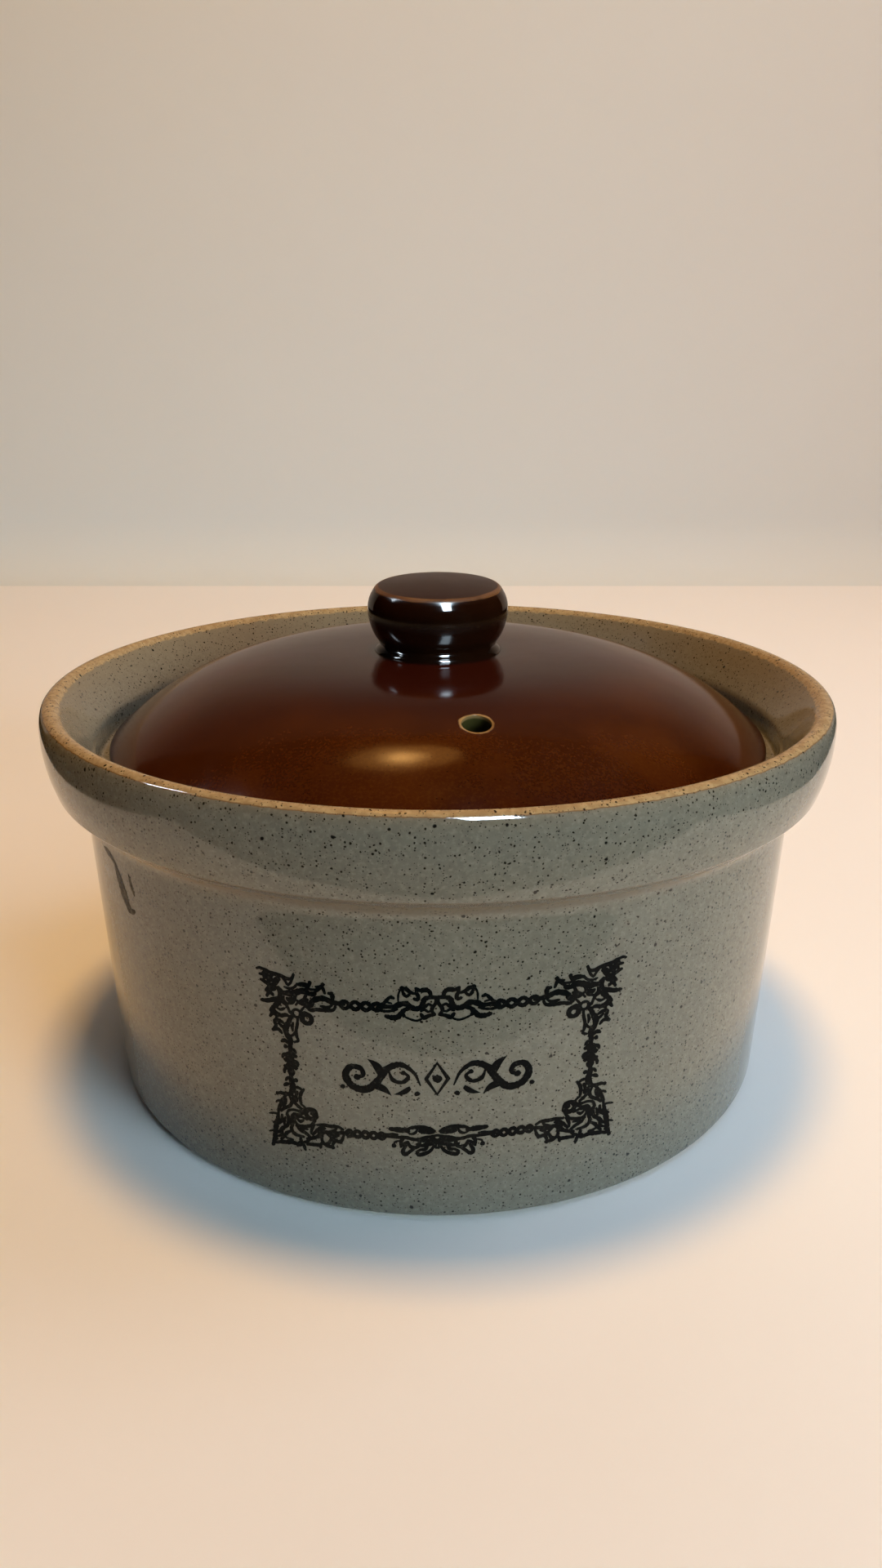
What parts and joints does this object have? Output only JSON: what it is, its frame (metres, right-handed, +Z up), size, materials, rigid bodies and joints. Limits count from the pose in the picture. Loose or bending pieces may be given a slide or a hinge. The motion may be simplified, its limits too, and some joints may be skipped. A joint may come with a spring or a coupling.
{
  "type": "lidded stoneware dish",
  "caption": "Round glazed stoneware dish with a projecting collar and an inner ledge, and a domed lid with a steam vent and a button knob that lifts off.",
  "frame": {"origin": "centre of the foot, on the surface that the dish stands on", "axes": "+Z up along the dish's axis, -Y towards the front with the printed frame, +X to the right seen from the front"},
  "size_m": [0.2, 0.2, 0.1248],
  "materials": {
    "speckled_glaze": "glossy grey-buff glaze with dark iron specks, tan where it breaks over the rim",
    "brown_glaze": "glossy dark brown glaze, amber where thin"
  },
  "bodies": {
    "dish": {"dish": "speckled_glaze"},
    "lid": {"lid": "brown_glaze", "lid_knob": "brown_glaze"}
  },
  "joints": [
    {"name": "lid_lift", "type": "slide", "parent": "dish", "child": "lid", "axis": [0, 0, 1], "range_m": [0, 0.12]}
  ]
}
